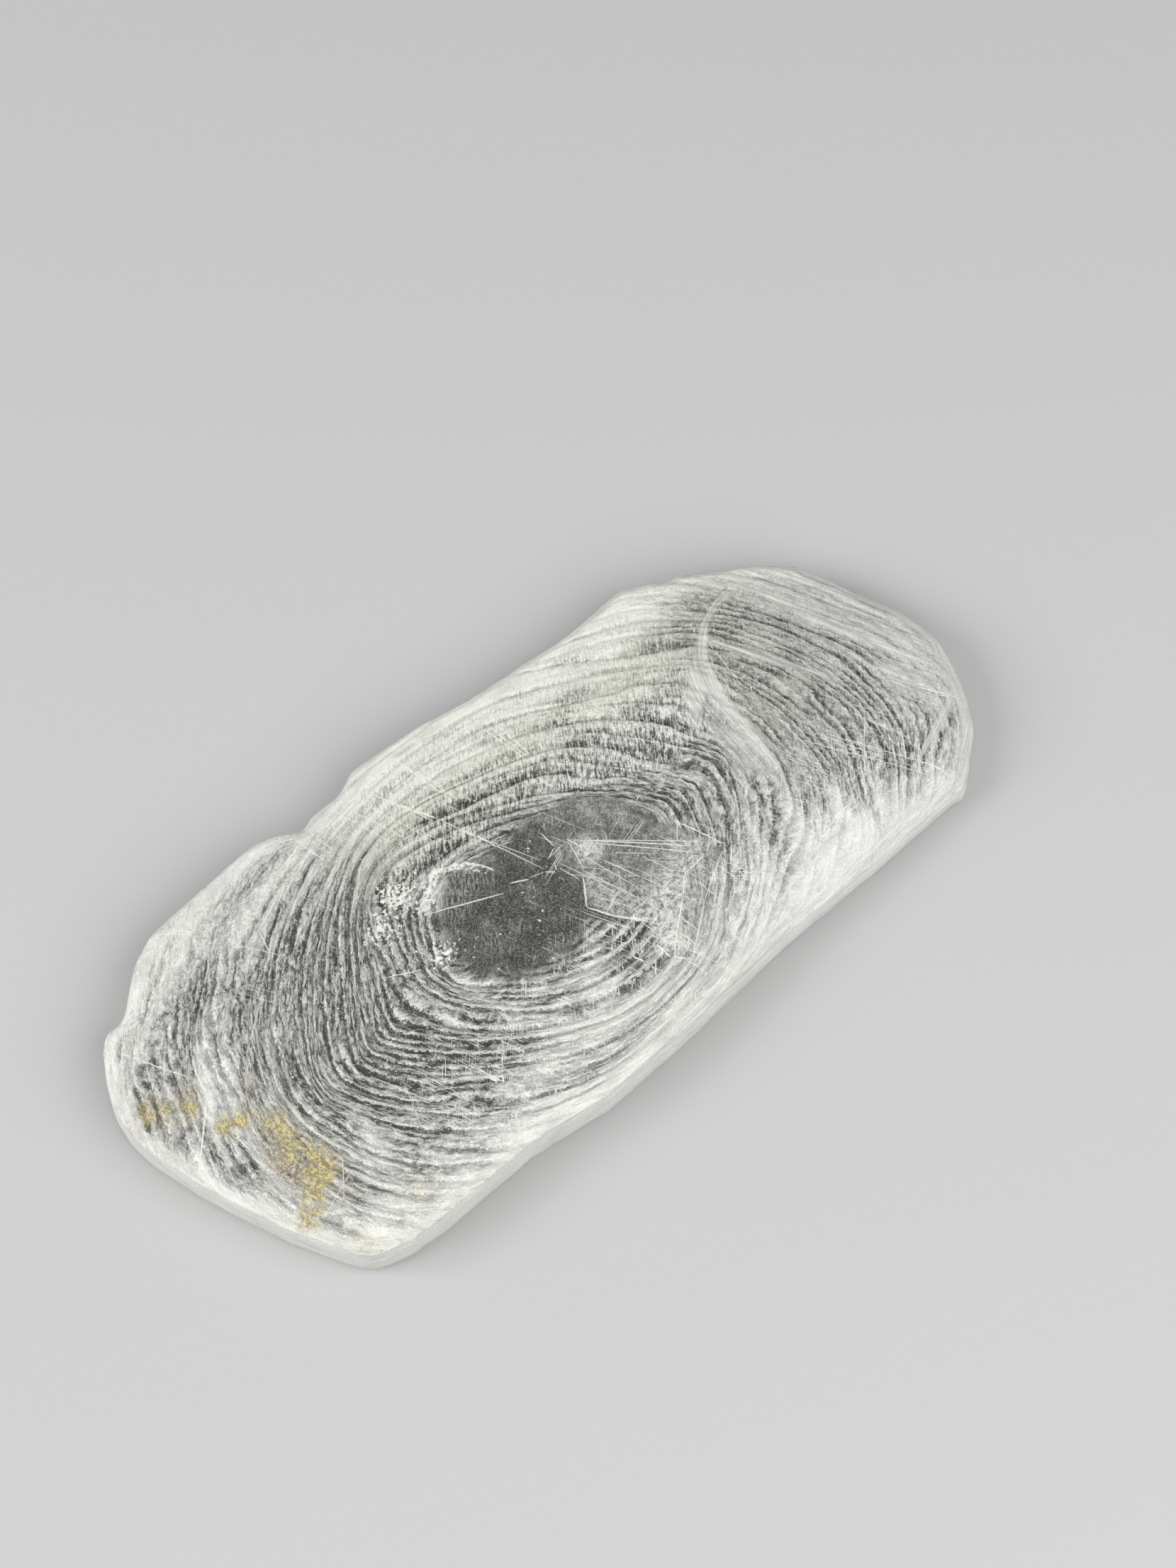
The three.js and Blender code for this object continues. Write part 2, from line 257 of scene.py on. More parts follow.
# Parts of the top by their soft sides: axis, where the side starts, where the part is full
UPPER_MIDDLE = [("x", -20, -8), ("x", 32, 26)]
RIGHT_HAND = [("x", 23, 29), ("y", 19, 13)]
LOWER_RIGHT = [("y", -8, -13), ("x", 16, 24)]
THREADED_BELOW = [("y", -4, -12), ("x", -34, -20), ("x", 30, 16)]
THREADED_ABOVE = [("y", 13, 17), ("x", -30, -20)]
WARM_ABOVE = [("y", 6, 12), ("x", -24, -10), ("x", 44, 30)]
WARM_RIGHT = [("x", 28, 31), ("x", 43, 38), ("y", -7, -1), ("y", 12, 7)]

# Direction of the crystal's own grain
GRAIN_TURN = math.radians(-57)

# Scratches and cracks: start, end, half width
SCRATCHES = [
    ((2.3, 4), (2.5, 1.7), 0.09), ((2.5, 1.7), (0.9, 0.9), 0.07), ((1, 1), (3.3, 1.3), 0.05),
    ((-0.3, 0), (0.8, -0.9), 0.08), ((0.8, -0.9), (1.3, 0.3), 0.06),
    ((-2, 0.5), (-0.3, 0), 0.05), ((1.3, -0.7), (2.2, -3.2), 0.07),
    ((1.7, -0.3), (3, -3.3), 0.05), ((3, -3.3), (4.8, -6.4), 0.06),
    ((2.7, -3.2), (0.7, -6.3), 0.13), ((3.4, -2.2), (4.1, 1.2), 0.09),
    ((3.3, -4), (4.7, -8.3), 0.05), ((0.7, -6.3), (2.8, -9.4), 0.14),
    ((2.8, -9.4), (5.8, -12), 0.1), ((1.7, -8.3), (5.3, -6.7), 0.06),
    ((5.3, -6.7), (6.4, -4.9), 0.05), ((2.7, -8), (4, -7), 0.06),
    ((0.2, -6.8), (3.2, -11.6), 0.05), ((2, -5.5), (5, -9.8), 0.05),
    ((1.4, -4.6), (5, -2.9), 0.04), ((3.9, -0.2), (6.8, -8.4), 0.06),
    ((4.1, 1.6), (4.9, -0.4), 0.12), ((4.3, 1.3), (15.2, -8.4), 0.1),
    ((4.7, 0.7), (15.3, -9.6), 0.08), ((5.6, 0.2), (16.6, -8.8), 0.06),
    ((5.7, -3), (7.8, -7.4), 0.08), ((7.8, -7.4), (9.2, -10), 0.06),
    ((9.4, -5.4), (11, -8.8), 0.05), ((15.2, -4.6), (17.9, -10.5), 0.09),
    ((15.2, -4.6), (13.6, -6.6), 0.07), ((16.8, -8.6), (15.1, -9.8), 0.07),
    ((15.2, -9.6), (11.7, -10), 0.12), ((11.7, -10), (10.2, -11.8), 0.11),
    ((10.2, -11.8), (6.2, -15.2), 0.11), ((6.2, -15.2), (4.8, -16.8), 0.12),
    ((17, -10.4), (11.7, -13.7), 0.08), ((11.7, -13.7), (6.4, -18), 0.1),
    ((4.1, -14.4), (4.6, -16.5), 0.14), ((4.6, -16.5), (6.4, -18), 0.12),
    ((4, -9.8), (7, -9.7), 0.07), ((10.1, -11.8), (11.2, -13.8), 0.07),
    ((8.3, -13.6), (9, -16), 0.06), ((12.4, -11.2), (13.3, -15.4), 0.06),
    ((14, -10.9), (14.9, -13.6), 0.05), ((15.2, -10.4), (16.3, -14.2), 0.06),
    ((7, -14.6), (7.8, -17), 0.05), ((6.3, -9.2), (7.4, -13.6), 0.05),
    ((8.9, -9.9), (10, -12), 0.06), ((5.9, -18), (6.8, -20.4), 0.08),
    ((7.2, -17.6), (8.4, -20), 0.06), ((16.4, -11.5), (18.9, -16.2), 0.05),
    ((4.4, -10.8), (5.2, -14.8), 0.06), ((1.8, -8.2), (5.2, -11.9), 0.16),
    ((3.1, -2.4), (5.7, -8.7), 0.07), ((-5.8, 13.6), (-0.1, 0.2), 0.07),
    ((-5, 11), (0.2, 1.4), 0.05), ((-4.4, 22.5), (-3.2, 15.5), 0.25),
    ((-3.6, 20), (-2.3, 13.2), 0.1), ((-8.2, 18), (-5.6, 13.2), 0.22),
    ((5.6, 19.4), (6.8, 12.7), 0.14), ((6.3, 19.6), (7.2, 12.2), 0.08),
    ((7.2, 18.3), (7.6, 12.5), 0.14), ((-13.6, 21.5), (-11.2, 13.8), 0.07),
    ((-12.6, 21.5), (-9.6, 13), 0.09), ((-11.2, 22), (-7.6, 11), 0.07),
    ((-9.8, 22), (-6, 13), 0.09), ((-17.5, 21.5), (-16.8, 17.5), 0.12),
    ((-19.4, 22), (-18.4, 17), 0.1), ((-13.4, 4.2), (-5.3, 0.8), 0.1),
    ((-4.2, 1.4), (-2.2, 0.4), 0.1), ((-45.2, 3.4), (-52, -3.8), 0.11),
    ((-50, 14), (-45.2, 5.5), 0.07), ((-30, 12), (-29.3, 15), 0.08),
    ((-29.3, 15), (-24, 17.6), 0.1), ((-13.8, 5.5), (-12.1, 6.1), 0.2),
    ((-12.4, 5.9), (-10.2, 7.9), 0.24), ((-10.4, 7.8), (-8.4, 7.5), 0.24),
    ((-8.8, 7.6), (-6.5, 6.5), 0.2), ((-6.7, 6.7), (-5.2, 5), 0.2),
    ((-5.3, 5.2), (-4.6, 3.7), 0.15), ((18.3, 10), (18.6, 11.2), 0.2),
    ((16.7, 1.4), (17.3, 1.6), 0.2), ((15.2, -2.1), (15.8, -2.4), 0.18),
    ((-22, 1.4), (-18, -0.6), 0.06), ((46, -5), (51.6, -14), 0.06),
    ((48.5, -9), (52.2, -13.6), 0.08), ((31, -3), (43, -19), 0.05),
    ((35.2, -6), (44, -18.4), 0.05), ((33.5, -16), (42, -6), 0.04),
    ((-40, -11), (-45.6, -15.2), 0.07), ((-37.8, -11.4), (-41, -15.8), 0.06),
    ((-38, -13.4), (-44, -15.8), 0.06), ((-42.7, -19.9), (-39, -22.4), 0.3),
]

# White flecks in and round the window: middle and half length along both axes
FLECKS = [
    (-4.4, -4.2, 0.1, -0.22), (-3.4, -3.5, 0.08, 0.2), (-3.4, -1.3, -0.02, 0.14),
    (-3.8, -0.4, 0.12, -0.14), (-11, -1.4, 0.06, 0.12), (-11.5, -5.8, 0.14, 0.1),
    (-6, -8.6, 0.16, 0.06), (-8.8, -2.7, 0.02, 0.16), (0, 3.4, 0.14, -0.16),
    (9.7, -0.5, 0.12, -0.12), (13.6, 0.5, 0.2, 0.1), (17, 1.5, 0.12, 0.04),
    (9.5, -5.2, 0.12, -0.06), (-6.9, -2.1, 0.08, -0.1), (-7.8, -4.3, 0.1, 0.12),
    (-12.8, -3, 0.06, 0.2), (3.5, -10.4, 0.14, 0.05),
]
FLECK_HALF_WIDTH = 0.14

# Where thin scratches lie thickest: x, y, spread, how many bundles, length of the longest,
# directions in degrees. A bundle has one to four scratches.
SCRATCHED = [
    (7, -4, (3, 2.5), 12, 5, (-42, -64, 70, 20)), (10, -9, (5, 3), 16, 7, (-65, 49, -40, 60)),
    (0, -16, (16, 3), 20, 4, (55, -60, 70)), (-20, -15, (9, 4), 9, 5, (-65, 49)),
    (36, -12, (5, 4), 16, 9, (-60, 58)), (-14, 17, (12, 2.5), 14, 7, (-65, 49)),
    (5, 15, (10, 3), 8, 9, (-65, -70)), (0, 0, (28, 12), 14, 6, (-65, 49)),
    (-42, 0, (6, 9), 8, 7, (-60, 45)), (30, 6, (2, 3), 6, 8, (60, 80)),
]
BUNDLE = (1, 5)
THIN_HALF_WIDTHS = (0.015, 0.045)

# Attributes that carry the scratches, three channels each, how far apart two scratches of one
# channel lie, how far each one reaches, and the value far from any of them
SCRATCH_FIELDS = ("scratches_a", "scratches_b", "scratches_c", "scratches_d")
SCRATCH_SPACE = 2
SCRATCH_REACH = 0.9
FAR_OFF = 60.0

# What the finish is told away from the top: shares of single, double and fourfold ledges; fray,
# gap and haze; share of window, worn and brushed skin; strands, threads and distance across the
# streaks; warm, painted cool sheen and the plate's haze; stains, browns and crusts. WALL_PHASE
# is the count of the ledges there.
OFF_TOP = dict(
    weights=(0, 0, 1), ledge=(0.3, 0, 1), region=(0, 1, 0), finish=(0.2, 0.1, 0), tint=(0, 0, 0),
    dirt=(0, 0, 0),
)
WALL_PHASE = 45

# Colours of the frost, of its painted bluish sheen and, darkest and palest, of the two kinds of
# grit
FROST = (0.85, 0.855, 0.805, 1)
PAINTED_SHEEN_COLOR = (0.86, 0.88, 0.89, 1)
WARM_FROST = (0.74, 0.75, 0.65, 1)
OCHRE_GRIT = ((0.28, 0.24, 0.16, 1), (0.7, 0.6, 0.22, 1))
BROWN_GRIT = ((0.13, 0.1, 0.09, 1), (0.55, 0.48, 0.4, 1))

# Finishes: transmission, colour of the clear skin, colour of the frost, least share of frost,
# depth of the bumps in millimetres
FINISHES = {
    "clear_window": (0.4, (0.03, 0.031, 0.03, 1), FROST, 0, 0.05),
    "frosted_ledges": (0.25, (0.03, 0.031, 0.028, 1), FROST, 0, 0.12),
    "frosted_wall": (0.2, (0.03, 0.031, 0.028, 1), FROST, 0.7, 0.1),
    "clear_underside": (0.9, (0.9, 0.9, 0.9, 1), (1, 1, 1, 1), 0, 0.05),
}
BUMP_STRENGTH = 0.7

# The inside of the crystal
REFRACTION = 1.52
INSIDE_COLOR = (0.35, 0.36, 0.35, 1)
INSIDE_DENSITY = 60.0

# The scar that forks across the right-hand half, and the smooth bands beyond it: middle lines
# and half widths. The low band lies across the others and is streaked along its own rise.
SCAR = [
    [
        (39.5, 14.8, 0.3), (36.5, 14.3, 0.4), (34, 13.2, 0.5), (32, 11.4, 0.75), (30.4, 9.3, 1),
        (29.4, 7, 1.2), (28.9, 4.5, 1), (28.9, 1, 0.9), (28.7, -3, 0.8), (28.5, -7, 0.4),
    ],
    [(31, 10.4, 0.6), (28.5, 7.8, 1.4), (26.4, 5.8, 1.3), (24.7, 3.6, 0.4)],
]
BANDS = [
    [(32.7, 11.2, 0.2), (34.7, 8.2, 0.45), (37.2, 4.3, 0.5), (39.4, 0.9, 0.4), (41, -3.3, 0.15)],
    [(42, 11.3, 0.4), (44.5, 6, 0.9), (46.6, 1.5, 1), (49, -3, 0.8), (50.6, -6.2, 0.3)],
    [(48.7, -7.8, 0.15), (49.9, -9.8, 0.45), (51, -11.8, 0.25)],
]
LOW_BAND = [[(42.3, -15.3, 0.2), (46, -13.9, 0.45), (49.6, -12.3, 0.5), (51.3, -11, 0.3)]]
LOW_BAND_RISE = 0.45
SCAR_RELIEF = 0.12

# Round places with smooth skin at the right-hand tip: x, y, radius, strength
SMOOTHED = [
    (47.6, -5, 2.6, 0.8), (49.8, -8.4, 2.2, 0.85), (46, -9.5, 1.8, 0.45), (48.5, -12, 1.5, 0.5),
]

# The streaked oval beside the scar: middle x and y, half width, half length; its streaks and
# the scar's run straight up and then round the bend
STREAKED = (27.5, -1.5, 2.9, 6.5)
SCAR_BEND = (40, 3.5)
STREAKED_LEAST = 0.02

# The long straight brushing over the right-hand end starts at this line, and is so strong by
# the distance past it
BRUSHED_FROM = ((36.5, 15.5), (48.5, -6.5))
BRUSHED = ((-0.4, 0), (0.8, 0.45), (2.5, 0.5), (3.6, 0.8), (5.5, 0.65), (9, 0.8))


def rough(x, y, seed):
    """Smooth random values between -1 and 1 that change over about one unit."""
    cells = 128
    lattice = np.random.default_rng(seed).uniform(-1, 1, (cells, cells))
    column, row = np.floor(x).astype(int), np.floor(y).astype(int)
    across, up = x - column, y - row
    across, up = across**2 * (3 - 2 * across), up**2 * (3 - 2 * up)
    left, right = column % cells, (column + 1) % cells
    low, high = row % cells, (row + 1) % cells
    below = lattice[left, low] * (1 - across) + lattice[right, low] * across
    above = lattice[left, high] * (1 - across) + lattice[right, high] * across
    return below * (1 - up) + above * up


def rougher(x, y, seed, octaves=3):
    """Rough values with finer roughness laid on top."""
    total = 0
    for octave in range(octaves):
        total = total + rough(x * 2**octave, y * 2**octave, seed + octave) / 2**octave
    return total / (2 - 0.5 ** (octaves - 1))


def ease(low, high, value):
    """Rises smoothly from 0 at the low value to 1 at the high one, or falls if they swap."""
    share = np.clip((value - low) / (high - low), 0, 1)
    return share * share * (3 - 2 * share)


def spots(points, places):
    """Sum of soft round spots at the points."""
    total = np.zeros(len(points))
    for x, y, radius, strength in places:
        distance = np.hypot(points[:, 0] - x, points[:, 1] - y)
        total += strength * np.exp(-((distance / radius) ** 2))
    return total


def within(places, sides):
    """1 in the part between the soft sides, 0 outside it."""
    share = 1
    for axis, start, full in sides:
        share = share * ease(start, full, places[:, "xy".index(axis)])
    return share


def read_round(directions, values, wanted):
    """Values at the wanted directions, read round the full circle."""
    order = np.argsort(directions)
    directions, values = np.asarray(directions)[order], np.asarray(values)[order]
    starts = np.concatenate([directions - TURN, directions, directions + TURN])
    return np.interp(wanted, starts, np.tile(values, 3))


def smooth_loop(points, steps=24):
    """A closed Catmull-Rom curve through the points, about the centre."""
    here = np.array(points, float) - CENTRE
    before, after, later = np.roll(here, 1, 0), np.roll(here, -1, 0), np.roll(here, -2, 0)
    before, here, after, later = (p[:, None, :] for p in (before, here, after, later))
    t = (np.arange(steps) / steps)[None, :, None]
    curve = 0.5 * (
        2 * here
        + (after - before) * t
        + (2 * before - 5 * here + 4 * after - later) * t**2
        + (3 * here - before - 3 * after + later) * t**3
    )
    return curve.reshape(-1, 2)


def polar(points):
    """Directions and distances of points given about the centre."""
    return np.arctan2(points[:, 1], points[:, 0]) % TURN, np.hypot(points[:, 0], points[:, 1])


def nearest_on(points, line):
    """Distance to a chain of straight pieces, and the place reached along it."""
    best = np.full(len(points), 1e9)
    place = np.zeros(len(points))
    for i, (start, end) in enumerate(zip(line[:-1], line[1:])):
        side = end - start
        share = np.clip(((points - start) @ side) / (side @ side), 0, 1)
        distance = np.hypot(*(points - start - share[:, None] * side).T)
        place = np.where(distance < best, i + share, place)
        best = np.minimum(best, distance)
    return best, place


class Plan:
    """Rays from the centre to the wall, and what is known along them."""

    def __init__(self):
        corners = np.array(OUTLINE)
        closed = np.vstack([corners, corners[:1]])
        sides = np.diff(closed, axis=0)
        travelled = np.concatenate([[0], np.cumsum(np.hypot(sides[:, 0], sides[:, 1]))])
        self.stops = np.linspace(0, travelled[-1], RAYS, endpoint=False)
        self.run = self.stops / travelled[-1] * TURN
        wall = np.stack([np.interp(self.stops, travelled, closed[:, i]) for i in (0, 1)], 1)
        wall = self.worn_round(wall)
        along = np.roll(wall, -1, 0) - np.roll(wall, 1, 0)
        along /= np.hypot(along[:, 0], along[:, 1])[:, None]
        self.outward = np.stack([along[:, 1], -along[:, 0]], 1)
        chips = rougher(*(wall.T / 1.8), seed=11)
        self.wall = wall - self.outward * (CHIP_DEPTH * (1 + chips))[:, None]
        self.direction, self.reach = polar(self.wall - CENTRE)
        self.unit = (self.wall - CENTRE) / self.reach[:, None]
        squareness = np.abs((self.outward * self.unit).sum(1))
        self.slant = np.minimum(1 / squareness, LONGEST_SLANT)
        degrees, rim, bevel = np.array(RIM, float).T
        self.rim = read_round(np.radians(degrees), rim, self.direction)
        self.rim = self.rim + RIM_WAVES * rougher(*(self.wall.T / 3.5), seed=17)
        self.bevel = read_round(np.radians(degrees), bevel, self.direction)

    @staticmethod
    def worn_round(wall):
        """The wall with its corners worn round over about a millimetre."""
        kernel = np.array([1, 2, 3, 2, 1]) / 9
        padded = np.vstack([wall[-2:], wall, wall[:2]])
        return np.stack([np.convolve(padded[:, i], kernel, "valid") for i in (0, 1)], 1)

    def read(self, points):
        """Distance from the centre to a loop drawn through the points, for each ray."""
        return read_round(*polar(smooth_loop(points)), self.direction)

    def count_ledges(self, radii):
        """How many ledges lie between the window and each radius."""
        lines = [self.read(points) for points in LEDGE_LINES]
        stops = np.stack([self.reach * 0, *lines, lines[-1] * LAST_REACH])
        numbers = [CENTRE_NUMBER, *LEDGE_NUMBERS, LEDGE_NUMBERS[-1] + LAST_LEDGES]
        return np.stack([np.interp(*ray, numbers) for ray in zip(radii.T, stops.T)], 1)


def slope_over(places, values):
    """Gradient in plan of values given over the rings and rays."""
    out = np.gradient(places, axis=0)
    aside = np.roll(places, -1, 1) - np.roll(places, 1, 1)
    rise_out = np.gradient(values, axis=0)
    rise_aside = np.roll(values, -1, 1) - np.roll(values, 1, 1)
    area = out[..., 0] * aside[..., 1] - out[..., 1] * aside[..., 0]
    x = (rise_out * aside[..., 1] - rise_aside * out[..., 1]) / area
    y = (rise_aside * out[..., 0] - rise_out * aside[..., 0]) / area
    return np.stack([x, y], -1)


def ledge_band(phase, gap):
    """Frost across the ledges: 0 in the clear line where one starts, 1 at its outer lip."""
    lip = 0.12
    share = phase - np.floor(phase)
    return ease(0, 1, share / (gap + lip)) * ease(0, 1, (1 - share) / lip)


def plate_at(places):
    """Whether each place lies on the cracked plate: 1 inside its edge, 0 outside."""
    x, y = places.T
    loop = np.array(PLATE + PLATE[:1])
    distance, _ = nearest_on(places, loop)
    inside = np.zeros(len(places), bool)
    for (x0, y0), (x1, y1) in zip(loop[:-1], loop[1:]):
        crosses = (y0 > y) != (y1 > y)
        inside ^= crosses & (x < x0 + (y - y0) * (x1 - x0) / (y1 - y0 or 1))
    to_edge = np.where(inside, distance, -distance) + 0.2 * rough(x, y, seed=89)
    return ease(-0.25, 0.25, to_edge)


def smooth_skin(places, branches):
    """How much of the branches' smooth white skin lies at each place."""
    x, y = places.T
    skin = 0
    for branch in map(np.array, branches):
        distance, place = nearest_on(places, branch[:, :2])
        half_width = np.interp(place, np.arange(len(branch)), branch[:, 2])
        half_width = half_width * (1 + 0.35 * rougher(x / 1.5, y / 3, seed=59, octaves=2))
        skin = np.maximum(skin, ease(half_width * 1.4, half_width * 0.5, distance))
    return skin


def strand_vector(run, phase):
    """Place on a roll whose skin runs along the ledges and whose axis counts them."""
    size = 14 + 0.8 * phase
    return np.column_stack([np.cos(run) * size, np.sin(run) * size, phase])


def ledge_phase(places, roll, number):
    """The count of the ledges, with their wander added."""
    phase = number + 0.8 * rough(*(roll / 13 + 0.3 * number), seed=5)
    return phase + 0.2 * rough(*(roll / 4 + 0.5 * number), seed=7) + 0.1 * rough(*places.T, seed=9)


def clear_gap(places, roll, phase, hollow):
    """Share of each ledge that its clear line takes up."""
    x, y = places.T
    wander = rough(*(roll / 9 + 1.3 * phase), seed=41)
    wander += 0.6 * rough(*(roll / 3.5 + 1.7 * phase), seed=43)
    gap = 0.4 + 0.45 * wander + 0.35 * hollow - 0.25 * ease(12, 17, y) - 0.2 * ease(-41, -46, x)
    return np.clip(gap, 0, 0.95)


def joined_weights(places, width, upper_right):
    """Shares of the single, double and fourfold ledges that crowded ones join to."""
    x, y = places.T
    coarser = 1.1 * upper_right + 0.4 * ease(-9, -15, y)
    join = np.log2(SINGLE_LEDGE_MM / width) + coarser + 0.3 * rough(x / 4, y / 4, seed=29)
    join = np.clip(join, 0, 2)
    return np.stack([1 - join, 1 - np.abs(join - 1), join - 1], 1).clip(0, 1)


def even_level(shares, radii):
    """How far out each point lies, 1 at the wall, with the wall's notches evened out."""
    weights = np.hanning(2 * EVEN_RAYS + 3)[1:-1]
    padded = np.concatenate([radii[-1][-EVEN_RAYS:], radii[-1], radii[-1][:EVEN_RAYS]])
    even_reach = np.convolve(padded, weights / weights.sum(), "valid")
    at_edge = ease(0.96, 1, shares)[:, None]
    return (shares[:, None] * at_edge + radii / even_reach * (1 - at_edge)).ravel()


def ledge_height(places, level, phase, gap, weights, window):
    """Height of the top before the bevel, with the ledges stepping down outwards."""
    band = sum(
        weight * ledge_band(phase / how_many, gap * kept)
        for weight, (how_many, kept) in zip(weights.T, JOINED)
    )
    band = band * (1 - window) + window * 0.8
    height = np.interp(level, *np.array(HEIGHTS).T) + RELIEF * (band - 1)
    return height + WAVINESS * rougher(*(places.T / 1.3), seed=53) * (1 - window)


def bevel_height(places, rim, bevel, to_wall):
    """Height that the worn bevel leaves, and far above the top away from it."""
    share = np.clip(to_wall / bevel, 0, 1)
    height = rim + (BEVEL_TOP - rim) * (1 - (1 - share) ** 2)
    return np.where(share < 1, height + WAVINESS * rough(*(places.T / 0.8), seed=61), np.inf)


def smooth_rim(places, bevel, to_wall):
    """The narrow bevel's own smooth edge, which no ledge reaches."""
    over = to_wall - bevel - 0.25 + 0.4 * rougher(*(places.T / 1.5), seed=67)
    return ease(0.15, -0.15, over) * ease(2.6, 1.8, bevel)


def top_surface(plan):
    """Points of the top and all that the finish needs to know there."""
    shares = np.linspace(INNERMOST, 1, RINGS)
    radii = shares[:, None] * (plan.reach - (RIM_INSET + RIM_LIP) * plan.slant)
    grid = CENTRE + plan.unit * radii[..., None]
    number = plan.count_ledges(radii)
    slope = slope_over(grid, number)
    width = 1 / np.hypot(slope[..., 0], slope[..., 1]).ravel()
    places = grid.reshape(-1, 2)
    x, y = places.T
    number = number.ravel()
    run, rim, bevel, edge = np.tile([plan.run, plan.rim, plan.bevel, plan.read(WINDOW)], RINGS)
    roll = strand_vector(run, number)[:, :2].T
    window = ease(-1.2, 1.2, edge - radii.ravel() + 1.3 * rougher(x / 2, y / 2, seed=23))
    upper_right = ease(6.5, 9.5, y + 0.45 * np.clip(x - 4, 0, 14)) * within(places, UPPER_MIDDLE)
    hollow = spots(places, HOLLOWS)
    phase = ledge_phase(places, roll, number)
    gap = clear_gap(places, roll, phase, hollow)
    weights = joined_weights(places, width, upper_right)
    scar, bands, low_band = (smooth_skin(places, skin) for skin in (SCAR, BANDS, LOW_BAND))
    height = ledge_height(places, even_level(shares, radii), phase, gap, weights, window)
    height += SCAR_RELIEF * np.max([scar, bands, low_band], axis=0)
    to_wall, _ = nearest_on(places, np.vstack([plan.wall, plan.wall[:1]]))
    worn_to = bevel_height(places, rim, bevel, to_wall)
    return dict(
        points=np.column_stack([places, np.minimum(height, worn_to)]), phase=phase, gap=gap,
        number=number, weights=weights, run=run, scar=scar, bands=bands, low_band=low_band,
        worn=ease(-0.4, 0.5, height - worn_to), window=window, upper_right=upper_right,
        to_wall=to_wall, hollow=hollow, smooth_rim=smooth_rim(places, bevel, to_wall),
    )


def haze_over(top, places):
    """How thick and white the frost lies, with a painted sheen on the lower right."""
    haze = 0.1 + 0.1 * ease(6, 30, top["number"]) + 0.3 * ease(3.2, 0.8, top["to_wall"])
    for strength, *side in HAZE_SIDES:
        haze += strength * within(places, [side])
    haze += spots(places, HAZES_AND_SHEEN) - 0.3 * top["hollow"] + 0.08 * rougher(*(places.T / 5), seed=71)
    roll = strand_vector(top["run"], top["phase"])[:, :2].T
    haze += 0.4 * rougher(*(roll / 6 + 0.6 * top["phase"]), seed=73, octaves=2)
    return np.clip(haze, 0, 1)


def brushed_over(top, places, right):
    """Share of smooth brushed skin, and the distance across its streaks."""
    x, y = places.T
    start, end = np.array(BRUSHED_FROM)
    side = (end - start) / np.hypot(*(end - start))
    beyond = (places - start) @ np.array([-side[1], side[0]])
    brushed = np.interp(beyond + 0.5 * rougher(x / 2, y / 2, seed=83), *np.array(BRUSHED).T)
    middle_x, middle_y, half_width, half_length = STREAKED
    streaked = np.hypot((x - middle_x) / half_width, (y - middle_y) / half_length)
    streaked = 0.65 * ease(1.15, 0.75, streaked + 0.2 * rougher(x / 2, y / 4, seed=87))
    bend_x, bend_y = SCAR_BEND
    round_bend = np.hypot(x - bend_x, np.maximum(y - bend_y, 0))
    across = np.where(np.maximum(top["scar"], streaked) > STREAKED_LEAST, round_bend, beyond)
    across = np.where(top["low_band"] > STREAKED_LEAST, y - LOW_BAND_RISE * x, across)
    lightly = 0.22 * right * ease(-14, -6, y)
    smoothed = spots(places, SMOOTHED).clip(0, 0.9)
    skins = [brushed, lightly, smoothed, streaked, top["scar"], top["bands"], top["low_band"]]
    return np.max(skins, axis=0), across


def finish_fields(top):
    """Values over the top that tell the finish where it is."""
    places = top["points"][:, :2]
    upper_right = top["upper_right"]
    right, lower_right = within(places, RIGHT_HAND), within(places, LOWER_RIGHT)
    strands = 1 - 0.7 * upper_right - 0.3 * right
    fray = 1 - 0.75 * upper_right - 0.2 * right - 0.2 * lower_right
    threads = 0.25 + 0.75 * within(places, THREADED_BELOW) + 0.5 * within(places, THREADED_ABOVE)
    brushed, across = brushed_over(top, places, right)
    plate = plate_at(places)
    pane = np.maximum(top["window"], 0.85 * plate)
    plate = plate * (0.12 + spots(places, PLATE_HAZES)).clip(0, 1)
    warm = within(places, WARM_ABOVE) * (1 - 0.6 * ease(15, 19, places[:, 1]))
    warm += 0.5 * within(places, WARM_RIGHT)
    near_wall = ease(2.4, 0.8, top["to_wall"])
    worn = np.maximum(top["worn"] * (0.45 + 0.55 * near_wall), top["smooth_rim"])
    return dict(
        weights=top["weights"],
        strand=strand_vector(top["run"], top["phase"]),
        ledge=np.column_stack([fray, top["gap"], haze_over(top, places)]),
        region=np.column_stack([pane, worn, brushed]),
        finish=np.column_stack([strands, np.clip(threads, 0, 1), across]),
        # The tint's middle channel is the painted bluish sheen and glints.
        tint=np.column_stack([warm, spots(places, PAINTED_SHEEN_SPOTS), plate]),
        dirt=np.column_stack([spots(places, field) for field in (STAINS, BROWNS, CRUSTS)]),
    )


def free_channel(line, channels):
    """The first channel whose scratches all keep clear of the line, or None."""
    for number, lines in enumerate(channels):
        if all(np.hypot(*(a - line).T).min() > SCRATCH_SPACE for b in lines for a in b):
            return number
    return None


def across_scratch(points, start, end, half_width):
    """Distance to a scratch, and signed distance across it in its own half widths."""
    length = np.hypot(*(end - start))
    along = (end - start) / length
    reach = (points - start) @ along / length
    aside = (points - start) @ np.array([-along[1], along[0]])
    to_line, _ = nearest_on(points, np.array([start, end]))
    taper = np.sqrt(np.clip(4 * reach * (1 - reach), 1e-4, 1))
    value = np.clip(aside / (half_width * taper), -FAR_OFF, FAR_OFF)
    far = np.where(aside < 0, -FAR_OFF, FAR_OFF)
    return to_line, np.where(to_line > SCRATCH_REACH, far, value)


